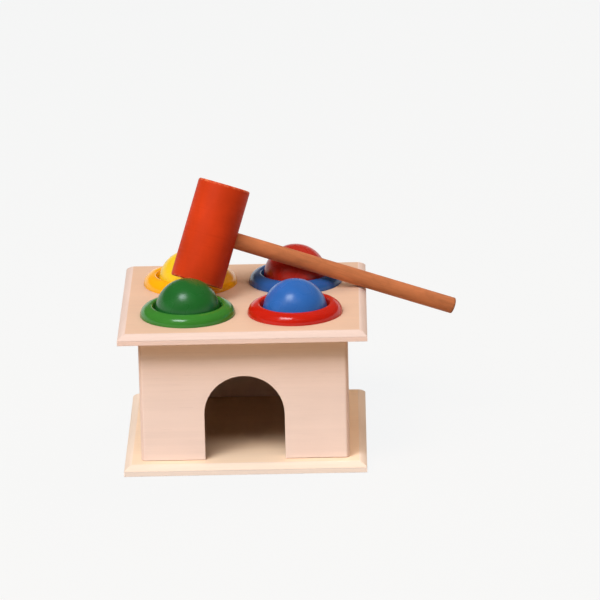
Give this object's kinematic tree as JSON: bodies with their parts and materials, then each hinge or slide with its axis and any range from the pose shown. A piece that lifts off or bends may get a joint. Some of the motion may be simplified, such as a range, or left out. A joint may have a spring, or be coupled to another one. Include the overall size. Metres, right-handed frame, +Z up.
{
  "type": "ball pounding box",
  "caption": "Wooden pounding toy: a plywood box with an arched door, a top plate with eased edges whose rings hold balls until they are knocked through, and a hammer lying on top.",
  "frame": {"origin": "centre of the base plate's underside", "axes": "+X to the right as seen from the door side, +Y to the back, +Z up"},
  "size_m": [0.1984, 0.145, 0.1583],
  "materials": {
    "plywood": "bare sanded birch plywood",
    "yellow_ball_paint": "gloss paint on turned wood",
    "green_ball_paint": "gloss paint on turned wood",
    "red_ball_paint": "gloss paint on turned wood",
    "blue_ball_paint": "gloss paint on turned wood",
    "yellow_ring_gloss": "glossy soft plastic",
    "green_ring_gloss": "glossy soft plastic",
    "blue_ring_gloss": "glossy soft plastic",
    "red_ring_gloss": "glossy soft plastic",
    "hammer_head_paint": "satin paint on turned wood",
    "handle_wood": "smooth tan dowel",
    "dowel_wood": "bare dowel",
    "screw_steel": "zinc-plated steel"
  },
  "bodies": {
    "house": {"base_plate": "plywood", "front_wall": "plywood", "back_wall": "plywood", "left_wall": "plywood", "right_wall": "plywood", "top_plate": "plywood", "yellow_ring": "yellow_ring_gloss", "green_ring": "green_ring_gloss", "blue_ring": "blue_ring_gloss", "red_ring": "red_ring_gloss", "base_screw_1": "screw_steel", "base_screw_2": "screw_steel", "base_screw_3": "screw_steel", "base_screw_4": "screw_steel", "top_dowel_1": "dowel_wood", "top_dowel_2": "dowel_wood", "top_dowel_3": "dowel_wood", "top_dowel_4": "dowel_wood"},
    "yellow_ball": {"yellow_ball": "yellow_ball_paint"},
    "green_ball": {"green_ball": "green_ball_paint"},
    "red_ball": {"red_ball": "red_ball_paint"},
    "blue_ball": {"blue_ball": "blue_ball_paint"},
    "hammer": {"hammer_head": "hammer_head_paint", "hammer_handle": "handle_wood"}
  },
  "joints": [
    {"name": "yellow_ball_drop", "type": "slide", "parent": "house", "child": "yellow_ball", "axis": [0, 0, -1], "range_m": [0, 0.0622]},
    {"name": "green_ball_drop", "type": "slide", "parent": "house", "child": "green_ball", "axis": [0, 0, -1], "range_m": [0, 0.0636]},
    {"name": "red_ball_drop", "type": "slide", "parent": "house", "child": "red_ball", "axis": [0, 0, -1], "range_m": [0, 0.0647]},
    {"name": "blue_ball_drop", "type": "slide", "parent": "house", "child": "blue_ball", "axis": [0, 0, -1], "range_m": [0, 0.0622]},
    {"name": "hammer_lift", "type": "slide", "parent": "house", "child": "hammer", "axis": [0, 0, 1], "range_m": [0, 0.12]}
  ]
}
